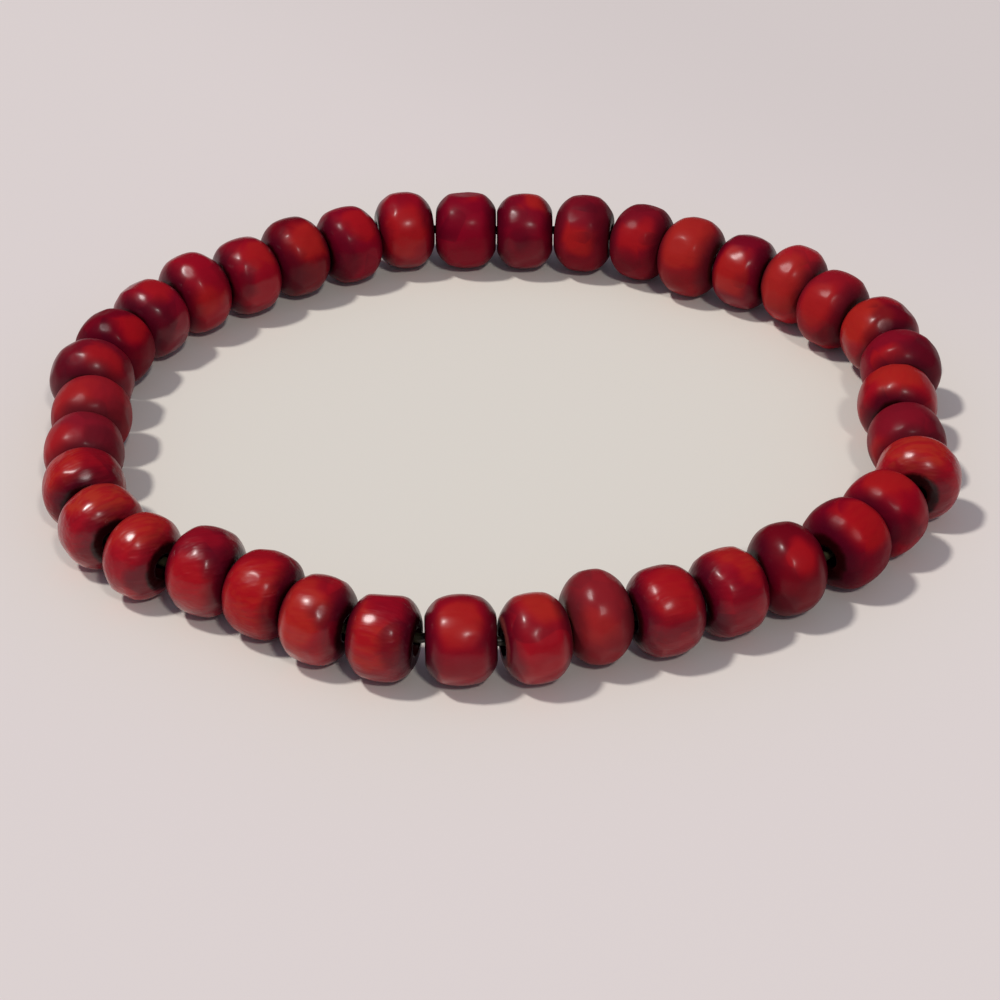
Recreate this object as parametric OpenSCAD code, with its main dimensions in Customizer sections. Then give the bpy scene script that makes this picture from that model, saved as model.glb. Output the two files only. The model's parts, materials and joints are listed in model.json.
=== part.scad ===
// Beaded stretch bracelet: stained wooden beads on an elastic thread, lying flat as a loose, uneven loop.
// Origin: middle of the loop, on the surface that it lies on. +Z up, +X along the loop's longer way.
// The viewer stands on the -Y side.

/* [Beads] */
// Width of a standard bead across its belly
bead_d = 6.4; // [4:0.1:12]
// Length of a standard bead along its hole
bead_l = 4.7; // [3:0.1:9]
// Radius of the bulge along a bead's side
belly_r = 4.6; // [3:0.1:15]
// Width of the flat rim around the hole at each end of a bead
rim_w = 0.75; // [0.4:0.05:1.5]
// Clearance between two neighbouring beads where they come closest
bead_gap = 0.05; // [0.03:0.01:0.5]

/* [Thread] */
// Width of the elastic thread
thread_d = 0.7; // [0.5:0.1:2]
// Clearance between the thread and the wall of a bead's hole, all round
hole_clear = 0.6; // [0.3:0.05:1]

/* [Hidden] */
$fn = 48;

// Route of the thread: its distance from the middle at equal steps, from the front and round to the right
route_radii = [
  28.5, 28.5, 27.5, 28, 28.5, 30.5,
  32, 33.5, 32, 33, 34, 32.5,
  31, 30, 30, 29.5, 29, 30,
  29.5, 29.5, 30.5, 31.5, 32, 31.5,
  31.5, 32.5, 32, 29, 28.5, 29
];
start_angle = -99;
step_angle = 360 / len(route_radii);

// One row for each bead, from the front and round to the right. WIDTH is a share of bead_d and LENGTH
// of bead_l. ENTER and LEAVE are how far the bead slips outward off the thread, where the thread enters and
// where it leaves, as shares of hole_clear. APART is how much further the next bead keeps, as a share of
// bead_l.
WIDTH = 0;
LENGTH = 1;
ENTER = 2;
LEAVE = 3;
APART = 4;
beads = [
  [1.00, 1.06, 0.6, -0.4, 0],
  [1.00, 0.98, 0.4, 0.8, 0],
  [1.06, 0.96, -0.8, -0.8, 0],
  [1.02, 1.04, 0.4, 0.4, 0],
  [1.00, 1.02, 0.2, 0.2, 0],
  [1.06, 1.02, -0.5, 0.2, 0],
  [1.04, 1.06, 0.3, -0.3, 0],
  [1.00, 1.02, -0.4, -0.4, 0],
  [1.02, 0.98, 0.6, 0.6, 0],
  [0.94, 1.00, -0.2, -0.2, 0],
  [0.98, 1.02, -0.6, -0.6, 0],
  [1.00, 1.00, 0.4, 0.4, 0],
  [0.98, 1.00, 0.2, 0.2, 0],
  [1.00, 0.98, -0.8, -0.8, 0],
  [1.02, 0.92, 0.8, 0.8, 0],
  [0.96, 0.94, 0.2, 0.2, 0],
  [1.04, 1.02, -0.6, -0.6, 0],
  [1.00, 0.98, 0.2, 0.2, 0],
  [1.02, 1.00, -0.2, -0.2, 0],
  [1.00, 1.00, -0.2, -0.2, 0],
  [1.02, 1.08, 0, 0, 0],
  [1.02, 1.00, 0.4, 0.4, 0],
  [1.00, 1.00, -0.4, -0.4, 0],
  [1.04, 1.02, 0.2, 0.2, 0],
  [1.00, 1.00, -0.2, -0.2, 0],
  [1.04, 1.00, 0.2, 0.2, 0],
  [1.00, 0.98, 0, 0, 0],
  [0.98, 0.98, 0.2, 0.2, 0],
  [1.04, 1.00, 0.4, 0.4, 0],
  [0.98, 1.02, -0.6, -0.6, 0],
  [0.96, 1.02, -0.2, -0.2, 0],
  [0.98, 0.98, -0.2, -0.2, 0],
  [1.00, 0.96, -0.2, -0.2, 0],
  [1.00, 0.90, -0.3, 0.8, 0.05],
  [1.02, 1.02, -0.3, -0.8, 0],
  [1.00, 1.02, -0.4, -0.8, 0],
  [1.00, 0.98, 0.3, -0.3, 0],
  [0.98, 1.00, 0.1, 0.8, 0]
];
count = len(beads);
last = count - 1;

hole_d = thread_d + 2 * hole_clear;
face_d = hole_d + 2 * rim_w;
// A shoulder's arc starts at a slant at the rim, and would swell to a little more than the bead's width
shoulder_slant = 70;
shoulder_swell = 1.04;
thread_sides = 8;
curve_steps = 8;

function bead_name(i) = str("bead_", i < 9 ? "0" : "", i + 1);

function bead_width(i) = beads[i][WIDTH] * bead_d;
function bead_length(i) = beads[i][LENGTH] * bead_l;

// Running sum of a list, with its total as the last entry
function running(list) = [
  for (i = 0, sum = 0; i <= len(list); sum = sum + (i < len(list) ? list[i] : 0), i = i + 1) sum
];

// Smooth closed curve through the route's points, and the running length along it
function route_point(i) =
  let (k = (i + len(route_radii)) % len(route_radii), a = start_angle + k * step_angle)
  route_radii[k] * [cos(a), sin(a)];
function between(p, q, r, s, t) =
  (2 * q + (r - p) * t + (2 * p - 5 * q + 4 * r - s) * t * t + (3 * q - p - 3 * r + s) * t * t * t) / 2;
curve = [
  for (i = [0:len(route_radii) - 1], k = [0:curve_steps - 1])
    between(route_point(i - 1), route_point(i), route_point(i + 1), route_point(i + 2), k / curve_steps)
];
curve_end = len(curve);
curve_run = running([for (i = [0:curve_end - 1]) norm(curve[(i + 1) % curve_end] - curve[i])]);
curve_x = [for (i = [0:curve_end]) [curve_run[i], curve[i % curve_end][0]]];
curve_y = [for (i = [0:curve_end]) [curve_run[i], curve[i % curve_end][1]]];

// Point of the route at a length along a string that is string_l long and fills the whole loop
function on_route(at, string_l) =
  let (scale_up = string_l / curve_run[curve_end], s = at / scale_up)
  scale_up * [lookup(s, curve_x), lookup(s, curve_y)];

// Where the thread enters and leaves each bead, for the given gaps after the beads
function thread_spans(gaps) =
  let (run = running([for (i = [0:last]) bead_length(i) + gaps[i]]))
  [for (i = [0:last]) [on_route(run[i], run[count]), on_route(run[i] + bead_length(i), run[count])]];
function heading(span) = atan2(span[1][1] - span[0][1], span[1][0] - span[0][0]);
function way(a) = [cos(a), sin(a)];
function outward(a) = [sin(a), -cos(a)];

// Axis of a bead's hole, a slip away from the thread at both of its ends
function slip(i, where) = beads[i][where] * hole_clear;
function bead_axis(spans, i) =
  let (side = outward(heading(spans[i])))
  [spans[i][0] + slip(i, ENTER) * side, spans[i][1] + slip(i, LEAVE) * side];
function bead_heading(spans, i) = heading(bead_axis(spans, i));
function bead_middle(spans, i) = let (axis = bead_axis(spans, i)) (axis[0] + axis[1]) / 2;

// Middle of a bead's flat end where the thread enters (-1) or leaves (1)
function end_middle(spans, i, end) =
  bead_middle(spans, i) + end * bead_length(i) / 2 * way(bead_heading(spans, i));

// How far the rim at a bead's end keeps from the end that it faces, on neighbour j. Where the rim stands out
// past that flat end, the neighbour's shoulder falls away from it.
function rim_clearance(spans, i, end, j) =
  let (
    a = bead_heading(spans, i),
    b = bead_heading(spans, j),
    apart = end_middle(spans, j, -end) - end_middle(spans, i, end)
  )
  min([
    for (side = [-1, 1])
      let (
        from = apart - side * face_d / 2 * outward(a),
        past = max(0, abs(from * outward(b)) - face_d / 2)
      )
      end * from * way(b) + past / tan(shoulder_slant)
  ]);
function clearance_after(spans, i) =
  let (j = (i + 1) % count)
  min(rim_clearance(spans, i, 1, j), rim_clearance(spans, j, -1, i));

// Gaps after the beads, set anew so that each pair comes as close as it should
function closeness(i) = bead_gap + beads[i][APART] * bead_l;
function settled(gaps) =
  let (spans = thread_spans(gaps))
  [for (i = [0:last]) gaps[i] + closeness(i) - clearance_after(spans, i)];
even_gaps = [for (i = [0:last]) bead_gap + face_d * sin(180 / count)];
spans = thread_spans(settled(settled(settled(settled(even_gaps)))));

// Middle of the loop, which comes to lie on the origin
bead_middles = [for (i = [0:last]) bead_middle(spans, i)];
function loop_middle(axis) =
  (max([for (i = [0:last]) bead_middles[i][axis] + bead_width(i) / 2])
    + min([for (i = [0:last]) bead_middles[i][axis] - bead_width(i) / 2])) / 2;
middle = [loop_middle(0), loop_middle(1)];

// Half section of a bead with its length along Y: a bulging side, rounded shoulders and flat ends
module bead_profile(width, length) {
  shoulder_r = (shoulder_swell * width - face_d) / 2 / (1 - cos(shoulder_slant));
  shoulder_at = [face_d, length] / 2 - shoulder_r * [cos(shoulder_slant), sin(shoulder_slant)];
  difference() {
    intersection() {
      translate([width / 2 - belly_r, 0])
        circle(r = belly_r);
      translate([0, -length / 2])
        square([width, length]);
    }
    for (flip = [0, 1])
      mirror([0, flip])
        difference() {
          translate(shoulder_at)
            square([width, length]);
          translate(shoulder_at)
            circle(r = shoulder_r);
        }
    translate([-2 * belly_r, -length])
      square([2 * belly_r + hole_d / 2, 2 * length]);
  }
}

module bead(i) {
  color("firebrick")
    translate([bead_middles[i][0] - middle[0], bead_middles[i][1] - middle[1], bead_width(i) / 2])
      rotate([0, 0, bead_heading(spans, i)])
        rotate([0, 90, 0])
          rotate_extrude()
            bead_profile(bead_width(i), bead_length(i));
}

// Ring of thread corners where it enters (-1) or leaves (1) a bead, square to the bead
function thread_ring(i, end) =
  let (
    side = outward(bead_heading(spans, i)),
    at = end_middle(spans, i, end) - slip(i, end < 0 ? ENTER : LEAVE) * side - middle
  )
  [
    for (k = [0:thread_sides - 1])
      let (turn = 360 * k / thread_sides, flat = at + thread_d / 2 * cos(turn) * side)
      [flat[0], flat[1], bead_width(i) / 2 + thread_d / 2 * sin(turn)]
  ];

module elastic_thread() {
  rings = 2 * count;
  corners = [for (i = [0:last], end = [-1, 1], corner = thread_ring(i, end)) corner];
  faces = [
    for (r = [0:rings - 1], k = [0:thread_sides - 1])
      let (near = r * thread_sides, far = ((r + 1) % rings) * thread_sides, next = (k + 1) % thread_sides)
      [near + k, far + k, far + next, near + next]
  ];
  color("darkkhaki")
    polyhedron(corners, faces);
}

for (i = [0:last])
  bead(i);
elastic_thread();
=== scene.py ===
"""Beaded stretch bracelet: turned, stained and varnished wooden beads on an elastic thread.

Lengths are metres. The loop lies on z = 0, and the viewer stands on the -Y side. A bead has a frame of its
own: X runs along its hole, counterclockwise round the loop, Y points into the loop and Z up.
"""

import json
import math
from dataclasses import dataclass

import bpy
import numpy as np
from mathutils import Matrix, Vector


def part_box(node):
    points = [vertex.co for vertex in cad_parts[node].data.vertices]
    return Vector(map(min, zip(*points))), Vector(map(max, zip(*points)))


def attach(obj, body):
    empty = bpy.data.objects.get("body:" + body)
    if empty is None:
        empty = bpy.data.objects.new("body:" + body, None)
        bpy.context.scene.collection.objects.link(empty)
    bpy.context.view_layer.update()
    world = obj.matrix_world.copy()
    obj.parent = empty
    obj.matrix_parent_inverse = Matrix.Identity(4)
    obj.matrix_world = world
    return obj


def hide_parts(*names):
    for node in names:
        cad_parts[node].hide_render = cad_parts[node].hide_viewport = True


bl_info = {
    "name": "Beaded Stretch Bracelet",
    "version": (1, 0, 0),
    "blender": (4, 5, 0),
    "location": "View3D > Sidebar > Bracelet",
    "description": "Turned wooden beads on an elastic thread, with a plain stage",
    "category": "Add Mesh",
}

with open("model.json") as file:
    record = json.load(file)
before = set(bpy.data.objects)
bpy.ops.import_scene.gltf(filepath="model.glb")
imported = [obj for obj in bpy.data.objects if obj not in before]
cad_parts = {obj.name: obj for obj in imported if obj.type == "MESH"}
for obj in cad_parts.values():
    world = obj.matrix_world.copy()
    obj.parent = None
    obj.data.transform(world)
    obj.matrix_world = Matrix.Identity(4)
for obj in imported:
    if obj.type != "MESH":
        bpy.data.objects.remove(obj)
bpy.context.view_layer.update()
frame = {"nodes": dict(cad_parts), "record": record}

MM = 0.001
UP = Vector((0, 0, 1))
BODY = "root"
THREAD = "elastic_thread"
BEADS = sorted(name for name in frame["nodes"] if name.startswith("bead_"))
SLOTS = {part["node"]: part["material_slot"] for part in frame["record"]["subparts"]}

# Slack for the frame's rounded numbers, and the decimals in which equal corners agree
TINY = 0.001 * MM
DECIMALS = 7
# Points along a bead's side as it is first drawn, and round its whole section before it gets its mesh steps
SIDE_POINTS = 400
SECTION_POINTS = 2000
# Length that a radian of bend counts for when a section is shared into mesh steps, in edge roundings
BEND_WEIGHT = 2.5
# Waves of unevenness around a bead, the least height of one, and the most that it leans along the bead
WAVES = (2, 3, 5, 8)
LEAST_WAVE = 0.4
MOST_LEAN = 2
# Depth of the shallowest facet, as a share of the deepest one's
SHALLOWEST = 0.2
# Share of a flat's depth over which it blends into the side
FLAT_BLEND = 0.2
# How far apart two beads lie in the patterns of grain, stain and varnish, in half widths, and how far the
# stain and the varnish of one bead lie from its grain
SEED_STEP = 7.3
STAIN_SHIFT = 2
VARNISH_SHIFT = 5


@dataclass
class Look:
    """What tells one bead from the next.

    light and dark are the spots where the stain is thin and where it has pooled, and partly painted light
    and painted shade, each as (right, up, reach) as the viewer sees it, in half widths from the bead's
    middle. tone brightens the stain, and warmth lets the wood's own colour through at the light spot. gloss
    is how much the varnish shines. grain is how strongly the fibres show, and turn how many degrees they are
    turned from the hole. shade is how dark the painted shade and pooled stain on the shoulders are, rim how
    far the rims are rubbed, and bare how far the whole bead is. A flat is (right, up, depth), its depth in
    millimetres.
    """

    light: tuple = (0.0, 0.5, 0.6)
    dark: tuple = (0.7, -0.2, 0.6)
    tone: float = 1.0
    warmth: float = 0.5
    gloss: float = 0.5
    grain: float = 0.2
    turn: float = 0.0
    shade: float = 0.95
    rim: float = 0.0
    bare: float = 0.0
    flats: tuple = ()


# The beads by number, from the front of the loop and round to the right
LOOKS = {
    1: Look(light=(0.0, 0.5, 0.5), dark=(0.9, 0.0, 0.6), tone=0.95, warmth=0.3, gloss=0.65),
    2: Look(light=(0.2, 0.9, 0.5), dark=(-0.5, -0.5, 0.35), tone=1.1, warmth=0.45, gloss=0.8, rim=0.9,
            flats=((0.3, 0.1, 0.1),)),
    3: Look(light=(-0.15, -0.2, 0.35), dark=(-0.7, -0.5, 0.55), tone=0.95, warmth=0.2, gloss=0.3, bare=0.25,
            flats=((-0.28, 0.44, 0.04), (0.08, 0.16, 0.04), (0.4, -0.4, 0.1))),
    4: Look(light=(0.2, 0.5, 0.7), dark=(-0.8, -0.2, 0.7), tone=0.9, warmth=0.15, gloss=0.65, grain=0.8,
            flats=((-0.3, 0.44, 0.04), (0.07, 0.16, 0.02))),
    5: Look(light=(0.3, 0.8, 0.55), dark=(-0.8, 0.0, 0.7), warmth=0.4, gloss=0.6, grain=0.7,
            flats=((-0.31, 0.44, 0.025),)),
    6: Look(light=(0.3, 0.2, 0.35), dark=(-0.6, -0.6, 0.7), tone=0.6, warmth=0.1, gloss=0.35),
    7: Look(light=(0.4, 0.5, 0.6), dark=(-0.6, -0.2, 0.6), warmth=0.15, gloss=0.08, grain=0.4,
            flats=((-0.34, 0.43, 0.06), (0.03, 0.15, 0.06))),
    8: Look(light=(0.0, 0.8, 0.6), dark=(0.4, -0.5, 0.4), tone=1.1, warmth=0.2, gloss=0.15,
            flats=((-0.35, 0.43, 0.06), (0.03, 0.15, 0.06))),
    9: Look(light=(-0.1, 0.8, 0.75), dark=(0.1, -0.7, 0.25), tone=1.3, warmth=0.6, gloss=0.7, grain=1.0,
            turn=77, shade=0.5, flats=((-0.35, 0.42, 0.03),)),
    10: Look(light=(-0.6, -0.4, 0.5), dark=(0.7, 0.2, 0.5), tone=1.1, warmth=0.1, gloss=0.1, bare=0.1,
             flats=((-0.35, 0.41, 0.06),)),
    11: Look(light=(-0.1, 0.8, 0.7), dark=(0.3, -0.2, 0.25), tone=1.2, warmth=0.4, gloss=0.35,
             flats=((-0.35, 0.41, 0.05),)),
    12: Look(light=(-0.4, 0.2, 0.4), dark=(0.6, 0.3, 0.8), tone=1.1, warmth=0.1, gloss=0.15, bare=0.05),
    13: Look(light=(-0.6, 0.3, 0.7), dark=(0.5, 0.2, 0.7), warmth=0.45, gloss=0.45),
    14: Look(light=(-0.5, 0.1, 0.5), dark=(0.3, -0.6, 0.6), warmth=0.2, gloss=0.15, bare=0.1,
             flats=((-0.33, 0.39, 0.04), (0.04, 0.11, 0.03), (0.0, -0.7, 0.1))),
    15: Look(light=(-0.5, 0.0, 0.8), dark=(0.7, 0.0, 0.35), tone=1.35, warmth=0.3, gloss=0.2, bare=0.15,
             flats=((-0.32, 0.39, 0.06),)),
    16: Look(light=(-0.5, -0.1, 0.6), dark=(0.5, -0.3, 0.6), tone=1.1, warmth=0.3, gloss=0.5,
             flats=((-0.31, 0.38, 0.04), (0.05, 0.1, 0.03))),
    17: Look(light=(-0.1, 0.5, 0.85), dark=(0.8, -0.2, 0.7), tone=0.9, warmth=0.35, gloss=0.15, bare=0.12),
    18: Look(light=(-0.1, 0.2, 0.45), dark=(0.8, 0.0, 0.7), tone=0.95, warmth=0.1, gloss=0.05, bare=0.08,
             flats=((-0.29, 0.37, 0.03), (0.1, 0.35, 0.12))),
    19: Look(light=(-0.2, -0.3, 0.4), dark=(0.7, 0.1, 0.7), warmth=0.2, gloss=0.05, bare=0.08,
             flats=((-0.28, 0.4, 0.1),)),
    20: Look(light=(0.4, 0.8, 0.5), dark=(0.0, -0.3, 0.1), tone=1.1, warmth=0.3, gloss=0.4),
    21: Look(light=(0.2, 0.8, 0.15), dark=(-0.6, -0.2, 0.05), tone=1.2, warmth=0.2, gloss=0.15,
             flats=((0.0, 0.95, 0.2), (0.0, -0.8, 0.12))),
    22: Look(light=(0.0, -0.1, 0.7), dark=(0.9, 0.3, 0.6), warmth=0.15, gloss=0.5,
             flats=((0.3, -0.6, 0.08),)),
    23: Look(light=(0.4, 0.5, 0.5), dark=(-0.4, -0.4, 0.8), tone=1.25, warmth=0.1, gloss=0.25,
             flats=((0.4, -0.6, 0.12),)),
    24: Look(light=(0.4, 0.4, 0.6), dark=(-0.5, -0.4, 0.8), tone=0.6, warmth=0.3, gloss=0.4,
             flats=((0.4, -0.5, 0.1),)),
    25: Look(light=(0.5, 0.5, 0.5), dark=(0.0, -0.3, 0.4), tone=1.1, warmth=0.2, gloss=0.6,
             flats=((-0.4, 0.6, 0.12), (0.5, -0.5, 0.15))),
    26: Look(light=(0.4, -0.3, 0.4), dark=(-0.5, -0.3, 0.7), tone=1.1, warmth=0.2, gloss=0.5),
    27: Look(light=(0.0, 0.8, 0.4), dark=(-0.1, -0.4, 0.7), tone=1.25, warmth=0.1, gloss=0.65,
             flats=((-0.18, 0.39, 0.03), (0.8, -0.1, 0.1))),
    28: Look(light=(0.6, 0.4, 0.45), dark=(-0.3, -0.2, 0.75), tone=0.8, warmth=0.1, gloss=0.1,
             flats=((-0.17, 0.4, 0.04), (0.5, 0.2, 0.14), (0.2, -0.3, 0.1))),
    29: Look(light=(0.4, 0.4, 0.45), dark=(-0.5, -0.3, 0.75), tone=0.95, warmth=0.1, gloss=0.4, bare=0.05,
             flats=((-0.17, 0.4, 0.03),)),
    30: Look(light=(-0.4, 0.4, 0.6), dark=(0.6, -0.3, 0.6), tone=1.1, warmth=0.15, gloss=0.08, bare=0.2,
             flats=((-0.17, 0.38, 0.12), (0.5, 0.3, 0.1))),
    31: Look(light=(-0.6, 0.2, 0.6), dark=(0.6, -0.1, 0.7), tone=1.3, warmth=0.1, gloss=0.2, bare=0.15,
             flats=((-0.17, 0.4, 0.12), (0.3, 0.3, 0.1))),
    32: Look(light=(-0.5, 0.5, 0.6), dark=(0.4, 0.1, 0.6), warmth=0.4, gloss=0.55, grain=1.0, turn=73),
    33: Look(light=(0.0, 0.9, 0.8), dark=(0.5, -0.2, 0.4), tone=1.25, warmth=0.7, gloss=1.0, grain=1.0,
             turn=85, shade=0.6, flats=((-0.1, 0.35, 0.03), (-0.18, 0.43, 0.025))),
    34: Look(light=(0.0, 0.8, 0.8), dark=(0.3, -0.7, 0.45), tone=1.25, warmth=0.5, gloss=0.85, grain=0.9,
             turn=118, shade=0.6, flats=((-0.19, 0.43, 0.025),)),
    35: Look(light=(-0.3, -0.3, 0.55), dark=(0.7, 0.2, 0.65), warmth=0.1, gloss=0.9, grain=1.0, turn=-35),
    36: Look(light=(-0.2, 0.0, 0.9), dark=(0.8, -0.3, 0.6), warmth=0.3, gloss=0.4, grain=1.0, turn=-37),
    37: Look(light=(-0.6, 0.1, 0.85), dark=(0.4, -0.1, 0.4), tone=1.1, warmth=0.45, gloss=0.8, grain=0.5,
             turn=-15),
    38: Look(light=(-0.5, 0.0, 0.75), dark=(0.5, -0.1, 0.55), warmth=0.35, gloss=0.65, grain=1.0, turn=5,
             flats=((-0.24, 0.44, 0.03), (0.05, 1.0, 0.2))),
}


def size(name, default, description):
    return bpy.props.FloatProperty(
        name=name, description=description, default=default, min=0, precision=6,
        subtype="DISTANCE", unit="LENGTH",
    )


def share(name, default, description, most=1.0):
    return bpy.props.FloatProperty(name=name, description=description, default=default, min=0, max=most)


def colour(name, default, description):
    return bpy.props.FloatVectorProperty(
        name=name, description=description, default=default, size=3, min=0, max=1, subtype="COLOR"
    )


def angle(name, default, description):
    return bpy.props.FloatProperty(
        name=name, description=description, default=math.radians(default), subtype="ANGLE", unit="ROTATION"
    )


def whole(name, default, description, least):
    return bpy.props.IntProperty(name=name, description=description, default=default, min=least)


def vector(name, default, description, kind):
    return bpy.props.FloatVectorProperty(
        name=name, description=description, default=default, subtype=kind, precision=6
    )


class BeadShape(bpy.types.PropertyGroup):
    belly_radius: size("Belly radius", 4.6 * MM, "Radius of the bulge along a bead's side")
    shoulder_slant: angle("Shoulder slant", 70, "Slant at which the shoulder's arc leaves the rim")
    shoulder_swell: share("Shoulder swell", 1.04, "Bead widths that the shoulder's arc would swell to", 2)
    edge_round: size("Edge rounding", 0.07 * MM, "How far turning and tumbling rounded each edge")
    wobble: share("Wobble", 0.006, "How much a bead is out of round, as a share of its half width", 0.1)
    facets: whole("Facets", 60, "Small facets that sanding left on a bead", 0)
    facet_depth: size("Facet depth", 0.07 * MM, "How deep the deepest of these facets goes")
    around: whole("Steps around", 96, "Mesh steps around a bead", 12)
    along: whole("Steps along", 56, "Mesh steps along a section", 24)


class WoodFinish(bpy.types.PropertyGroup):
    red: colour("Red stain", (0.3, 0.0015, 0.011), "Stain of the red beads")
    crimson: colour("Crimson stain", (0.21, 0.0012, 0.012), "Stain of the darker beads")
    orange_red: colour("Orange-red stain", (0.34, 0.003, 0.01), "Stain of the lighter beads")
    # The colour below is thin stain, and partly painted light at the light spot
    bright: colour("Bright stain", (0.4, 0.002, 0.009), "Where the stain is thin")
    thinnest: colour("Thinnest stain", (0.45, 0.035, 0.012), "Where the wood's own colour shows through")
    # The colour below is pooled stain in patches and streaks, and partly painted shade at the dark spot and
    # on the shoulders
    thick: colour("Thick stain", (0.07, 0.0008, 0.009), "Where the stain has pooled")
    # The colour below is painted shade on the flat ends and in the hole, along with pooled stain
    deepest: colour("Deepest stain", (0.02, 0.0004, 0.0012), "The flat ends, where stain pooled most")
    rubbed: colour("Rubbed stain", (0.26, 0.045, 0.04), "Where the stain has rubbed off a facet or a rim")
    roughness: share("Roughness", 0.33, "Roughness of the varnish where it is even")
    dullness: share("Dullness", 0.1, "How much rougher the varnish of the dullest bead is")
    coat_roughness: share("Coat roughness", 0.22, "Roughness of the glossy drops of varnish")
    gloss_index: share("Refraction of varnish", 1.26, "How strongly the varnish reflects", 2)
    coat_index: share("Refraction of drops", 1.34, "How strongly its glossy drops reflect", 2)
    fibre_height: size("Fibre height", 0.08 * MM, "Height of the wood's fibres under the varnish")
    ripple_height: size("Ripple height", 0.03 * MM, "Height of the ripples in the varnish")


class ThreadLook(bpy.types.PropertyGroup):
    stain: colour("Thread colour", (0.04, 0.034, 0.016), "Smoky olive of the elastic")
    index: share("Refraction", 1.5, "How strongly the elastic reflects", 2)
    strand_height: size("Strand height", 0.01 * MM, "Height of the strands that show on the elastic")
    sides: whole("Sides", 20, "Mesh steps around the thread", 8)
    steps: whole("Steps", 5, "Mesh steps of each bend", 2)


class StageLook(bpy.types.PropertyGroup):
    aim: vector("Aim", (0.00023, -0.01152, 0.00315), "Point at the middle of the picture", "TRANSLATION")
    elevation: angle("Elevation", 35.02, "Camera's height above the horizon")
    distance: size("Distance", 215.1 * MM, "From the camera to its aim")
    lens: bpy.props.FloatProperty(
        name="Lens", description="Focal length in millimetres", default=104.96, min=1
    )
    reach: size("Surface reach", 4.0, "How far the surface runs out to each side")
    floor: colour("Surface", (0.83, 0.76, 0.71), "Pale laminate that the bracelet lies on")
    floor_inside: colour("Surface inside", (0.809, 0.773, 0.672), "Its more yellow tone inside the loop")
    floor_roughness: share("Surface roughness", 0.55, "Roughness of the laminate")
    floor_index: share("Refraction of surface", 1.3, "How strongly the laminate reflects", 2)
    room: share("Room light", 0.21, "Light that comes evenly from the room", 5)
    room_tint: vector("Room tint", (0.95, 0.97, 1.3), "Cool tint of the room's light", "NONE")
    mirrored: share("Mirrored room", 0.1, "How much of the room's light is there for the varnish to mirror")
    backdrop: share("Backdrop", 0.62, "Brightness of the backdrop behind the surface", 5)
    backdrop_tint: colour("Backdrop tint", (1.0, 0.91, 0.88), "Warm tint of the backdrop")
    key: share("Key lamp", 1.77, "Strength of the lamp on the left", 20)
    key_side: vector("Key lamp's side", (-0.457, -0.008, 0.889), "Way from the bracelet to it", "XYZ")
    fill: share("Fill lamp", 0.72, "Strength of the lamp behind the viewer", 20)
    fill_side: vector("Fill lamp's side", (0.209, -0.616, 0.759), "Way from the bracelet to it", "XYZ")
    lamp_tint: colour("Lamp tint", (1.0, 0.97, 0.95), "Tint of both lamps")
    lamp_width: angle("Lamp width", 6, "Width of each lamp as the bracelet sees it")


def toward_viewer(elevation):
    """Direction from the loop to a viewer at this elevation."""
    return Vector((0, -math.cos(elevation), math.sin(elevation)))


@dataclass
class Place:
    """Where a bead lies, and its sizes."""

    name: str
    middle: Vector
    axis: Vector
    half_width: float
    half_length: float
    face_radius: float
    hole_radius: float

    @property
    def inward(self):
        return UP.cross(self.axis)

    @property
    def number(self):
        return int(self.name.split("_")[1])

    def to_loop(self, points):
        """Points of the bead's own frame in the loop's frame."""
        return np.array(self.middle) + points @ np.array([self.axis, self.inward, UP])

    def seen(self, right, up):
        """Direction, in the bead's frame, of the place on it that the viewer sees at (right, up)."""
        elevation = bpy.context.scene.bracelet_stage.elevation
        above = Vector((0, math.sin(elevation), math.cos(elevation)))
        flat = Vector((right, 0, 0)) + above * up
        out = flat + toward_viewer(elevation) * math.sqrt(max(0.0, 1 - flat.length_squared))
        out.normalize()
        return Vector((out.dot(self.axis), out.dot(self.inward), out.z))


def vertices(node):
    """Corners of a node's plain mesh, in the loop's frame."""
    mesh = frame["nodes"][node].data
    flat = np.zeros(len(mesh.vertices) * 3)
    mesh.vertices.foreach_get("co", flat)
    return flat.reshape(-1, 3)


def hole_direction(node):
    """Direction of a bead's hole: the level direction that the largest flat area of its mesh faces."""
    mesh = frame["nodes"][node].data
    normals = np.zeros(len(mesh.polygons) * 3)
    areas = np.zeros(len(mesh.polygons))
    mesh.polygons.foreach_get("normal", normals)
    mesh.polygons.foreach_get("area", areas)
    normals = normals.reshape(-1, 3)
    most_rise, least_match = 0.01, 0.99999
    level = np.abs(normals[:, 2]) < most_rise
    normals, areas = normals[level], areas[level]
    faced = (np.abs(normals @ normals.T) > least_match) @ areas
    return Vector(normals[faced.argmax()]).normalized()


def measure(node):
    """Place and sizes of a bead, read from its plain solid."""
    low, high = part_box(node)
    middle = (low + high) / 2
    axis = hole_direction(node)
    if axis.dot(UP.cross(middle)) < 0:
        axis.negate()
    spots = vertices(node) - np.array(middle)
    along = spots @ np.array(axis)
    away = np.linalg.norm(spots - np.outer(along, axis), axis=1)
    half_length = float(np.abs(along).max())
    face_radius = float(away[np.abs(along) > half_length - TINY].max())
    return Place(node, middle, axis, (high.z - low.z) / 2, half_length, face_radius, float(away.min()))


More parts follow.
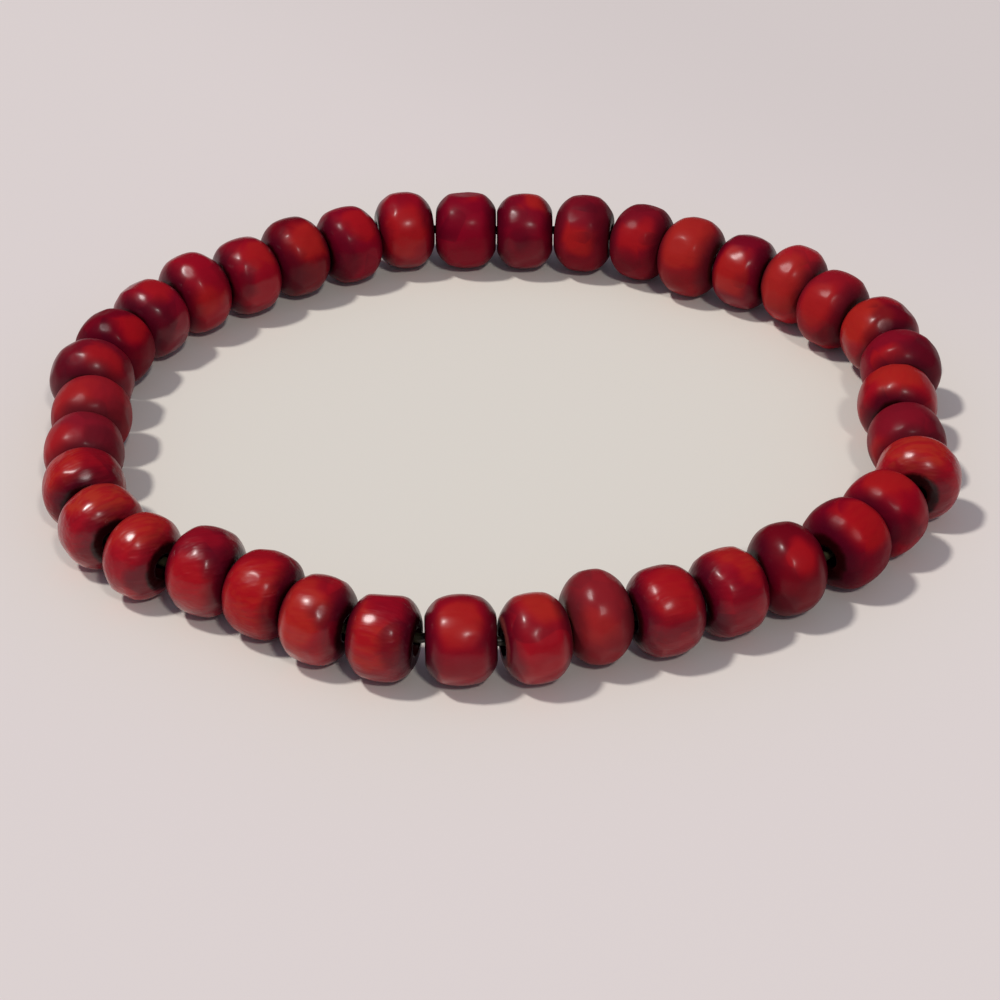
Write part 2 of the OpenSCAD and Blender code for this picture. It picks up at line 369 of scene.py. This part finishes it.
def bead_section(place, shape):
    """Closed section of a bead as rows of (along, away from the hole's axis), its edges rounded."""
    half, width = place.half_length, place.half_width
    radius = (shape.shoulder_swell * width - place.face_radius) / (1 - math.cos(shape.shoulder_slant))
    shoulder_x = half - radius * math.sin(shape.shoulder_slant)
    shoulder_y = place.face_radius - radius * math.cos(shape.shoulder_slant)
    x = np.linspace(-half, half, SIDE_POINTS)
    belly = width - shape.belly_radius + np.sqrt(shape.belly_radius**2 - x**2)
    past = np.clip(np.abs(x) - shoulder_x, 0, radius)
    shoulder = shoulder_y + np.sqrt(radius**2 - past**2)
    side = np.minimum(belly, shoulder)
    corners = np.concatenate(
        [np.stack([x, side], 1), [(half, place.hole_radius), (-half, place.hole_radius), (-half, side[0])]]
    )
    fine = resampled(corners, SECTION_POINTS, 0)
    return resampled(softened(fine, shape.edge_round), shape.along, BEND_WEIGHT * shape.edge_round)


def softened(loop, reach):
    """A closed loop of even steps, blurred over a reach."""
    step = np.linalg.norm(loop[1] - loop[0])
    wave = np.fft.fftfreq(len(loop), step)
    blur = np.exp(-2 * (math.pi * wave * reach) ** 2)
    return np.stack([np.fft.ifft(np.fft.fft(loop[:, k]) * blur).real for k in (0, 1)], 1)


def resampled(loop, count, bend_weight):
    """count points along a closed loop, closer together where it bends."""
    closed = np.concatenate([loop, loop[:1]])
    steps = np.linalg.norm(np.diff(closed, axis=0), axis=1)
    heading = np.unwrap(np.arctan2(*np.diff(closed, axis=0).T[::-1]))
    bends = np.abs(np.diff(heading, append=heading[-1:]))
    cost = np.concatenate([[0], np.cumsum(steps + bend_weight * bends)])
    at = np.linspace(0, cost[-1], count, endpoint=False)
    return np.stack([np.interp(at, cost, closed[:, k]) for k in (0, 1)], 1)


def turned(section, around):
    """Points of a section turned around X, as (section, around, 3)."""
    a = np.linspace(0, 2 * math.pi, around, endpoint=False)
    x, r = section[:, :1], section[:, 1:]
    return np.stack([np.broadcast_to(x, (len(section), around)), r * np.cos(a), r * np.sin(a)], 2)


def ring_faces(rows, columns):
    """Faces of a grid that closes on itself both ways."""
    i, j = np.meshgrid(np.arange(rows), np.arange(columns), indexing="ij")
    down, right = (i + 1) % rows, (j + 1) % columns
    here, below = i * columns, down * columns
    return np.stack([here + j, here + right, below + right, below + j], 2).reshape(-1, 4)


def unevenness(draw, a, x):
    """How far a bead is out of round at angle a and place x along it, by a few waves drawn at random."""
    swing = np.zeros_like(a)
    for waves in WAVES:
        phase = draw.uniform(0, 2 * math.pi)
        lean = draw.uniform(-MOST_LEAN, MOST_LEAN)
        height = draw.uniform(LEAST_WAVE, 1)
        swing += height * (1 + np.cos(waves * a + phase + lean * x)) / waves
    return swing


def sanding(draw, shape):
    """Facings and depths of the small facets, drawn at random."""
    facets = []
    for _ in range(shape.facets):
        facing = draw.normal(size=3)
        facets.append((facing / np.linalg.norm(facing), draw.uniform(SHALLOWEST, 1) * shape.facet_depth))
    return facets


def worn(points, place, look, shape):
    """A turned bead made slightly out of round, with its flats and facets, which only ever take away."""
    draw = np.random.default_rng(place.number)
    a = np.arctan2(points[..., 2], points[..., 1])
    away = np.hypot(points[..., 1], points[..., 2])
    outer = np.clip((away - place.hole_radius) / (place.half_width - place.hole_radius), 0, 1)
    swing = unevenness(draw, a, points[..., 0] / place.half_length)
    points = points.copy()
    points[..., 1:] *= (1 - shape.wobble * outer * swing)[..., None]
    flats = [(np.array(place.seen(right, up)), depth * MM) for right, up, depth in look.flats]
    for facing, depth in flats + sanding(draw, shape):
        reach = points @ facing
        blend = FLAT_BLEND * depth
        over = (reach - reach.max() + depth) / blend
        points -= (blend * np.logaddexp(0, over) * outer)[..., None] * facing
    return points


def new_object(name, data):
    made = bpy.data.objects.new(name, data)
    bpy.context.scene.collection.objects.link(made)
    return made


def new_mesh(name, points, faces):
    mesh = bpy.data.meshes.new(name)
    mesh.from_pydata(points.reshape(-1, 3), [], faces.tolist())
    mesh.validate()
    mesh.shade_smooth()
    return new_object(name, mesh)


def dress(piece, node, material):
    """Give a piece its material, and let it stand for a node of the frame."""
    piece.data.materials.append(material)
    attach(piece, BODY)
    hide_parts(node)


class Nodes:
    """Shorthand for adding nodes to a tree.

    Inputs are set or linked by name, with _ for a space, or by their number, as i0, i1 and on.
    """

    def __init__(self, tree):
        self.tree = tree
        tree.nodes.clear()

    def add(self, kind, settings=None, **inputs):
        node = self.tree.nodes.new("ShaderNode" + kind)
        for name, value in (settings or {}).items():
            setattr(node, name, value)
        for name, value in inputs.items():
            self.put(node, name.replace("_", " "), value)
        return node

    def put(self, node, name, value):
        socket = node.inputs[int(name[1:]) if name[1:].isdigit() else name]
        if isinstance(value, bpy.types.NodeSocket):
            self.tree.links.new(value, socket)
        else:
            socket.default_value = value

    def math(self, operation, a, b=0.0, c=0.0):
        return self.add("Math", {"operation": operation}, i0=a, i1=b, i2=c).outputs[0]

    def vector(self, operation, a, b=(0.0, 0.0, 0.0)):
        return self.add("VectorMath", {"operation": operation}, i0=a, i1=b).outputs[0]

    def scalar(self, operation, a, b=(0.0, 0.0, 0.0)):
        """A vector operation that gives one number."""
        return self.add("VectorMath", {"operation": operation}, i0=a, i1=b).outputs[1]

    def blend(self, factor, a, b):
        return self.add("Mix", {"data_type": "RGBA"}, i0=factor, i6=a, i7=b).outputs[2]

    def ramp(self, value, start, end, low=0.0, high=1.0):
        """value from start to end as low to high, eased at both ends."""
        settings = {"interpolation_type": "SMOOTHSTEP"}
        return self.add("MapRange", settings, i0=value, i1=start, i2=end, i3=low, i4=high).outputs[0]

    def noise(self, place, scale, detail, rough):
        node = self.add("TexNoise", Vector=place, Scale=scale, Detail=detail, Roughness=rough)
        return node.outputs["Fac"]

    def moved(self, place, seed):
        """place moved by seed along all three axes, so that each bead gets its own part of a pattern."""
        shift = self.add("CombineXYZ", X=seed, Y=seed, Z=seed).outputs[0]
        return self.vector("ADD", place, shift)

    def use(self, group, **inputs):
        """A node group placed in the tree, as its outputs."""
        return self.add("Group", {"node_tree": group}, **inputs).outputs


def new_group(name, inputs, outputs):
    """The tree of a shader node group with these sockets, by label and kind, its inputs and output node."""
    group = bpy.data.node_groups.new(name, "ShaderNodeTree")
    for label, kind in inputs.items():
        group.interface.new_socket(label, in_out="INPUT", socket_type="NodeSocket" + kind)
    for label, kind in outputs.items():
        group.interface.new_socket(label, in_out="OUTPUT", socket_type="NodeSocket" + kind)
    nodes = Nodes(group)
    return nodes, group.nodes.new("NodeGroupInput").outputs, group.nodes.new("NodeGroupOutput")


def new_material(name):
    """A material, its tree and its shader."""
    material = bpy.data.materials.new(name)
    material.use_nodes = True
    nodes = Nodes(material.node_tree)
    shader = nodes.add("BsdfPrincipled")
    nodes.add("OutputMaterial", Surface=shader.outputs[0])
    return material, nodes, shader


def rgba(value):
    return (*value, 1)


def grain_group():
    """Fibres that run along the hole, or turned from it, through the whole bead."""
    nodes, given, result = new_group(
        "Wood Grain",
        {"Place": "Vector", "Turn": "Float", "Seed": "Float", "Strength": "Float"},
        {"Fibres": "Float", "Height": "Float"},
    )
    waves_along, waves_across = 2.2, 8.5
    turned_place = nodes.add(
        "VectorRotate", {"rotation_type": "Z_AXIS"}, Vector=given["Place"], Angle=given["Turn"]
    ).outputs[0]
    place = nodes.moved(turned_place, given["Seed"])
    drawn_out = nodes.vector("MULTIPLY", place, (waves_along, waves_across, waves_across))
    fibres = nodes.noise(drawn_out, scale=1.0, detail=1.0, rough=0.4)
    nodes.put(result, "Fibres", nodes.ramp(fibres, start=0.36, end=0.66))
    nodes.put(result, "Height", nodes.math("MULTIPLY", fibres, given["Strength"]))
    return nodes.tree


def stain_group():
    """Colour of stained wood: thin and light round one spot, pooled and dark round another, and streaked.

    The spots are partly painted light and painted shade, and the shoulders and the flat ends are darkened
    with painted shade as well as pooled stain.
    """
    nodes, given, result = new_group(
        "Wood Stain",
        {
            "Place": "Vector",
            "Seed": "Float",
            "Stain": "Color",
            "Bright": "Color",
            "Thinnest": "Color",
            "Thick": "Color",
            "Deepest": "Color",
            "Rubbed": "Color",
            "Light Spot": "Vector",
            "Light Reach": "Float",
            "Warmth": "Float",
            "Dark Spot": "Vector",
            "Dark Reach": "Float",
            "Fibres": "Float",
            "Streaks": "Float",
            "Shade": "Float",
            "Ends": "Float",
            "Bare": "Float",
            "Half Length": "Float",
        },
        {"Color": "Color"},
    )
    spot_edge, shoulder_edge = (-0.24, 0.15), (0.45, 1.0)
    brightest, darkest, thickest_patch, thickest_streak = 0.8, 0.6, 0.35, 0.12
    wander_share, patch_share, pull_back, shoulder_share = 0.8, 0.2, -0.5, 0.3
    fibre_share = -0.7
    place = nodes.moved(given["Place"], given["Seed"])
    wander = nodes.noise(place, scale=1.3, detail=1.0, rough=0.5)
    cells = nodes.add("TexVoronoi", {"feature": "SMOOTH_F1"}, Vector=place, Scale=1.4, Smoothness=0.1)
    patch = nodes.add("SeparateColor", Color=cells.outputs["Color"]).outputs[0]
    # Pushes the edges of spots and shoulders in and out, about evenly
    push = nodes.math("MULTIPLY_ADD", patch, patch_share, pull_back)
    push = nodes.math("MULTIPLY_ADD", wander, wander_share, push)

    def spot(middle, reach):
        far = nodes.scalar("DISTANCE", given["Place"], given[middle])
        wide = nodes.math("ADD", given[reach], push)
        return nodes.ramp(nodes.math("SUBTRACT", wide, far), *spot_edge)

    # The light spot is partly thin stain and partly painted light
    light = spot("Light Spot", "Light Reach")
    # The dark spot is partly pooled stain and partly painted shade
    dark = nodes.math("MULTIPLY", spot("Dark Spot", "Dark Reach"), darkest)
    streak = nodes.math("MULTIPLY", given["Fibres"], given["Streaks"])
    # Painted shade towards both ends, where neighbouring beads meet, together with some pooled stain
    along = nodes.math("ABSOLUTE", nodes.add("SeparateXYZ", Vector=given["Place"]).outputs["X"])
    pushed_along = nodes.math("MULTIPLY_ADD", push, shoulder_share, along)
    to_end = nodes.math("DIVIDE", pushed_along, given["Half Length"])
    shoulder = nodes.math("MULTIPLY", nodes.ramp(to_end, *shoulder_edge), given["Shade"])
    # The wood's own colour shows only in the middle of the light spot, which is partly painted light, and
    # less in its dark fibres
    warm = nodes.math("MULTIPLY", nodes.math("POWER", light, 2.0), given["Warmth"])
    warm = nodes.math("MULTIPLY", warm, nodes.math("MULTIPLY_ADD", streak, fibre_share, 1.0))
    colour_here = given["Stain"]
    for factor, over in (
        (nodes.math("MULTIPLY", patch, thickest_patch), "Thick"),
        (nodes.math("MULTIPLY", streak, thickest_streak), "Thick"),
        # Thin stain, and painted light at the light spot
        (nodes.math("MULTIPLY", light, brightest), "Bright"),
        (warm, "Thinnest"),
        # Pooled stain, and painted shade at the dark spot and on the shoulders
        (nodes.math("MAXIMUM", dark, shoulder), "Thick"),
        # Painted shade on the flat ends and in the hole, with pooled stain
        (given["Ends"], "Deepest"),
        (given["Bare"], "Rubbed"),
    ):
        colour_here = nodes.blend(factor, colour_here, given[over])
    nodes.put(result, "Color", colour_here)
    return nodes.tree


def end_group():
    """Masks of a bead's flat ends with the hole, and of the rim alone."""
    nodes, given, result = new_group(
        "Bead Ends",
        {"Place": "Vector", "Half Length": "Float", "Face Radius": "Float"},
        {"Ends": "Float", "Rim": "Float"},
    )
    ragged_by = 0.05
    wall_edge, flat_edge = (-0.22, -0.14), (-0.05, 0.0)
    along = nodes.math("ABSOLUTE", nodes.add("SeparateXYZ", Vector=given["Place"]).outputs["X"])
    blots = nodes.noise(given["Place"], scale=5.0, detail=2.0, rough=0.6)
    ragged = nodes.math("MULTIPLY_ADD", blots, ragged_by, -ragged_by / 2)
    rim = nodes.math("ADD", nodes.math("SUBTRACT", along, given["Half Length"]), ragged)
    away = nodes.scalar("LENGTH", nodes.vector("MULTIPLY", given["Place"], (0.0, 1.0, 1.0)))
    past_wall = nodes.ramp(nodes.math("SUBTRACT", away, given["Face Radius"]), *wall_edge)
    flat = nodes.ramp(rim, *flat_edge)
    nodes.put(result, "Ends", nodes.math("MAXIMUM", flat, nodes.math("SUBTRACT", 1.0, past_wall)))
    nodes.put(result, "Rim", nodes.math("MULTIPLY", flat, past_wall))
    return nodes.tree


def varnish_group():
    """Varnish that lies unevenly: glossier drops, dull patches and fine ripples."""
    nodes, given, result = new_group(
        "Varnish",
        {"Place": "Vector", "Seed": "Float", "Gloss": "Float"},
        {"Coat": "Float", "Unevenness": "Float", "Height": "Float"},
    )
    least_coat, coat_gain = 0.6, 0.5
    dullest, polish = 0.06, -0.09
    place = nodes.moved(given["Place"], given["Seed"])
    even = nodes.ramp(nodes.noise(place, scale=2.0, detail=2.0, rough=0.5), start=0.3, end=0.7)
    coat = nodes.math("MULTIPLY_ADD", even, coat_gain, least_coat)
    nodes.put(result, "Coat", nodes.math("MULTIPLY", coat, given["Gloss"]))
    nodes.put(result, "Unevenness", nodes.math("MULTIPLY_ADD", even, polish, dullest))
    nodes.put(result, "Height", nodes.noise(place, scale=4.0, detail=1.0, rough=0.4))
    return nodes.tree


def stained_wood(place, look, groups):
    """Stained and varnished wood of one bead, in the bead's own frame."""
    finish = bpy.context.scene.bracelet_wood
    stains = {"wood_red": finish.red, "wood_crimson": finish.crimson, "wood_orange_red": finish.orange_red}
    material, nodes, shader = new_material("stained_" + place.name)
    least_reflection, most_reflection = 0.1, 0.5
    seed = SEED_STEP * place.number
    half_length = place.half_length / place.half_width
    # The bead's own frame in half widths, so that grain and stain follow the hole and not the room
    at = nodes.add(
        "Mapping", {"vector_type": "TEXTURE"},
        Vector=nodes.add("TexCoord").outputs["Object"],
        Location=place.middle,
        Rotation=(0, 0, math.atan2(place.axis.y, place.axis.x)),
        Scale=(place.half_width,) * 3,
    ).outputs[0]
    ends = nodes.use(
        groups["ends"], Place=at, Half_Length=half_length, Face_Radius=place.face_radius / place.half_width
    )
    grain = nodes.use(
        groups["grain"], Place=at, Turn=math.radians(look.turn), Seed=seed, Strength=look.grain
    )
    varnish = nodes.use(groups["varnish"], Place=at, Seed=seed + VARNISH_SHIFT, Gloss=look.gloss)
    coloured = nodes.use(
        groups["stain"],
        Place=at,
        Seed=seed + STAIN_SHIFT,
        Stain=rgba(look.tone * Vector(stains[SLOTS[place.name]])),
        Bright=rgba(finish.bright),
        Thinnest=rgba(finish.thinnest),
        Thick=rgba(finish.thick),
        Deepest=rgba(finish.deepest),
        Rubbed=rgba(finish.rubbed),
        # Light and dark spots: partly the stain's own, partly painted light and painted shade
        Light_Spot=place.seen(*look.light[:2]),
        Light_Reach=look.light[2],
        Warmth=look.warmth,
        Dark_Spot=place.seen(*look.dark[:2]),
        Dark_Reach=look.dark[2],
        Fibres=grain["Fibres"],
        Streaks=look.grain,
        Shade=look.shade,
        # The ends darken with painted shade and pooled stain
        Ends=ends["Ends"],
        Bare=nodes.math("MAXIMUM", nodes.math("MULTIPLY", ends["Rim"], look.rim), look.bare),
        Half_Length=half_length,
    )
    ripples = nodes.add("Bump", Strength=1.0, Distance=finish.ripple_height, Height=varnish["Height"])
    fibres = nodes.add(
        "Bump", Strength=1.0, Distance=finish.fibre_height, Height=grain["Height"],
        Normal=ripples.outputs[0],
    )
    roughness = finish.roughness + finish.dullness * (1 - look.gloss)
    nodes.put(shader, "Base Color", coloured["Color"])
    nodes.put(shader, "Roughness", nodes.math("ADD", varnish["Unevenness"], roughness))
    nodes.put(shader, "IOR", finish.gloss_index)
    reflection = least_reflection + (most_reflection - least_reflection) * look.gloss
    nodes.put(shader, "Specular IOR Level", reflection)
    nodes.put(shader, "Coat Weight", varnish["Coat"])
    nodes.put(shader, "Coat Roughness", finish.coat_roughness)
    nodes.put(shader, "Coat IOR", finish.coat_index)
    nodes.put(shader, "Normal", fibres.outputs[0])
    return material


class BRACELET_OT_beads(bpy.types.Operator):
    """Turn, wear, stain and varnish each bead of the string"""

    bl_idname = "bracelet.beads"
    bl_label = "Make Beads"

    def execute(self, context):
        shape = context.scene.bracelet_beads
        groups = {
            "grain": grain_group(), "stain": stain_group(), "ends": end_group(), "varnish": varnish_group()
        }
        for node in BEADS:
            place = measure(node)
            look = LOOKS[place.number]
            points = worn(turned(bead_section(place, shape), shape.around), place, look, shape)
            faces = ring_faces(shape.along, shape.around)
            piece = new_mesh("turned_" + node, place.to_loop(points), faces)
            dress(piece, node, stained_wood(place, look, groups))
        return {"FINISHED"}


def thread_points(places):
    """Middles of the thread where it enters and leaves each bead, read from its plain solid."""
    solid = vertices(THREAD)
    found = []
    for place in places:
        from_middle = solid - np.array(place.middle)
        near = np.linalg.norm(from_middle, axis=1) < place.half_length + place.hole_radius
        for side in (-1, 1):
            away = from_middle @ np.array(place.axis) - side * place.half_length
            # Faces of the solid that meet at a corner each have their own copy of it
            ring = np.unique(np.round(solid[(np.abs(away) < 2 * TINY) & near], DECIMALS), axis=0)
            found.append(Vector(ring.mean(0)))
    return found


def thread_route(places, steps):
    """Points and headings along the thread: straight in each hole, and one smooth bend from hole to hole."""
    ends = thread_points(places)
    points, headings = [], []
    for i, place in enumerate(places):
        follower = places[(i + 1) % len(places)]
        leave, enter = ends[2 * i + 1], ends[(2 * i + 2) % len(ends)]
        points += [ends[2 * i], (ends[2 * i] + leave) / 2]
        headings += [place.axis, place.axis]
        pull = (enter - leave).length
        a, b = place.axis * pull, follower.axis * pull
        for k in range(steps):
            t = k / steps
            points.append(
                leave * (2 * t**3 - 3 * t**2 + 1) + a * (t**3 - 2 * t**2 + t)
                + enter * (3 * t**2 - 2 * t**3) + b * (t**3 - t**2)
            )
            headings.append(place.axis.lerp(follower.axis, t).normalized())
    return points, headings


def thread_rings(points, headings, radius, sides):
    """Rings of corners round the thread's points, square to its headings."""
    turns = [2 * math.pi * k / sides for k in range(sides)]
    rings = []
    for point, heading in zip(points, headings):
        side = UP.cross(heading)
        rings.append([point + radius * (math.cos(a) * side + math.sin(a) * UP) for a in turns])
    return np.array(rings)


def elastic(look):
    """Clear, smoky elastic with fine strands."""
    material, nodes, shader = new_material("smoky_elastic")
    at = nodes.add("TexCoord").outputs["Object"]
    deep_share = 0.45
    cloud = nodes.noise(at, scale=900.0, detail=3.0, rough=0.6)
    strands = nodes.noise(at, scale=2600.0, detail=2.0, rough=0.5)
    ridges = nodes.add("Bump", Strength=1.0, Distance=look.strand_height, Height=strands)
    deep = rgba(deep_share * Vector(look.stain))
    smoke = nodes.ramp(cloud, start=0.3, end=0.7)
    nodes.put(shader, "Base Color", nodes.blend(smoke, rgba(look.stain), deep))
    nodes.put(shader, "Roughness", nodes.ramp(strands, start=0.2, end=0.8, low=0.28, high=0.42))
    nodes.put(shader, "IOR", look.index)
    nodes.put(shader, "Normal", ridges.outputs[0])
    return material


class BRACELET_OT_thread(bpy.types.Operator):
    """Run the elastic thread through every bead"""

    bl_idname = "bracelet.thread"
    bl_label = "Make Thread"

    def execute(self, context):
        look = context.scene.bracelet_thread
        points, headings = thread_route([measure(node) for node in BEADS], look.steps)
        solid = vertices(THREAD)
        radius = float(np.linalg.norm(solid - np.array(points[0]), axis=1).min())
        rings = thread_rings(points, headings, radius, look.sides)
        piece = new_mesh("elastic", rings, ring_faces(len(rings), look.sides))
        dress(piece, THREAD, elastic(look))
        return {"FINISHED"}


def laminate(look):
    """Pale matt laminate with a trace of mottling, more yellow inside the loop and dimmer at one corner."""
    material, nodes, shader = new_material("pale_laminate")
    at = nodes.add("TexCoord").outputs["Object"]
    loop_edge, corner_edge = (0.03, 0.06), (0.03, 0.08)
    corner_way = (0.7, 0.7, 0.0)
    mottled_by, deepest_corner_shade, corner_shade_share = 0.02, 0.5, 0.85
    mottle = nodes.noise(at, scale=14.0, detail=3.0, rough=0.5)
    from_middle = nodes.math("MULTIPLY_ADD", mottle, mottled_by, nodes.scalar("LENGTH", at))
    corner = nodes.scalar("DOT_PRODUCT", at, corner_way)
    to_corner = nodes.math("MULTIPLY_ADD", mottle, mottled_by, corner)
    outside = nodes.ramp(from_middle, *loop_edge)
    colour_here = nodes.blend(outside, rgba(look.floor_inside), rgba(look.floor))
    # Painted shade, dimming the surface towards one corner
    painted_corner_shade = nodes.ramp(to_corner, *corner_edge, 0.0, deepest_corner_shade)
    nodes.put(shader, "Base Color", nodes.blend(painted_corner_shade, colour_here, rgba(corner_shade_share * Vector(look.floor))))
    nodes.put(shader, "Roughness", look.floor_roughness)
    nodes.put(shader, "IOR", look.floor_index)
    return material


def lamp(name, strength, tint, toward, width):
    """A lamp far off in a direction."""
    light = bpy.data.lights.new(name, "SUN")
    light.energy = strength
    light.color = tint
    light.angle = width
    thing = new_object(name, light)
    thing.rotation_mode = "QUATERNION"
    thing.rotation_quaternion = Vector(toward).to_track_quat("Z", "Y")
    thing.location = Vector(toward)


def room_light(look):
    """Even light from the room, of which the varnish mirrors little, and a backdrop for the camera."""
    world = bpy.data.worlds.new("room")
    world.use_nodes = True
    bpy.context.scene.world = world
    nodes = Nodes(world.node_tree)
    rays = nodes.add("LightPath").outputs
    room = nodes.ramp(rays["Is Glossy Ray"], 0.0, 1.0, look.room, look.room * look.mirrored)
    even = nodes.add("Background", Color=rgba(look.room_tint), Strength=room)
    back = nodes.add("Background", Color=rgba(look.backdrop_tint), Strength=look.backdrop)
    mix = nodes.add("MixShader", i0=rays["Is Camera Ray"], i1=even.outputs[0], i2=back.outputs[0])
    nodes.add("OutputWorld", Surface=mix.outputs[0])


def viewer_camera(look):
    """A camera at the viewer's place, aimed at the loop."""
    camera = bpy.data.cameras.new("viewer")
    camera.lens = look.lens
    camera.clip_start = 10 * MM
    camera.clip_end = 5 * look.reach
    viewer = new_object("viewer", camera)
    back = toward_viewer(look.elevation)
    viewer.location = Vector(look.aim) + back * look.distance
    viewer.rotation_mode = "QUATERNION"
    viewer.rotation_quaternion = back.to_track_quat("Z", "Y")
    return viewer


class BRACELET_OT_stage(bpy.types.Operator):
    """Lay the pale surface, set the lamps and place the camera"""

    bl_idname = "bracelet.stage"
    bl_label = "Set Stage"

    def execute(self, context):
        look = context.scene.bracelet_stage
        corners = look.reach * np.array([(-1, -1, 0), (1, -1, 0), (1, 1, 0), (-1, 1, 0)])
        surface = new_mesh("surface", corners, np.array([[0, 1, 2, 3]]))
        surface.data.materials.append(laminate(look))
        room_light(look)
        lamp("key_lamp", look.key, look.lamp_tint, look.key_side, look.lamp_width)
        lamp("fill_lamp", look.fill, look.lamp_tint, look.fill_side, look.lamp_width)
        context.scene.camera = viewer_camera(look)
        context.scene.view_settings.view_transform = "Standard"
        return {"FINISHED"}


class BRACELET_PT_panel(bpy.types.Panel):
    bl_idname = "BRACELET_PT_panel"
    bl_label = "Beaded Bracelet"
    bl_space_type = "VIEW_3D"
    bl_region_type = "UI"
    bl_category = "Bracelet"

    def draw(self, context):
        for owner, operator in SECTIONS.items():
            box = self.layout.box()
            group = getattr(context.scene, owner)
            for name in group.__annotations__:
                box.prop(group, name)
            box.operator(operator)


GROUPS = {
    "bracelet_beads": BeadShape,
    "bracelet_wood": WoodFinish,
    "bracelet_thread": ThreadLook,
    "bracelet_stage": StageLook,
}
# The panel's boxes: each group of values, and the operator that makes what it describes
SECTIONS = {
    "bracelet_beads": "bracelet.beads",
    "bracelet_wood": "bracelet.beads",
    "bracelet_thread": "bracelet.thread",
    "bracelet_stage": "bracelet.stage",
}
CLASSES = (*GROUPS.values(), BRACELET_OT_beads, BRACELET_OT_thread, BRACELET_OT_stage, BRACELET_PT_panel)


def register():
    for made in CLASSES:
        bpy.utils.register_class(made)
    for name, group in GROUPS.items():
        setattr(bpy.types.Scene, name, bpy.props.PointerProperty(type=group))


def unregister():
    for name in GROUPS:
        delattr(bpy.types.Scene, name)
    for made in reversed(CLASSES):
        bpy.utils.unregister_class(made)


def main():
    register()
    bpy.ops.bracelet.beads()
    bpy.ops.bracelet.thread()
    bpy.ops.bracelet.stage()


if __name__ == "__main__":
    main()
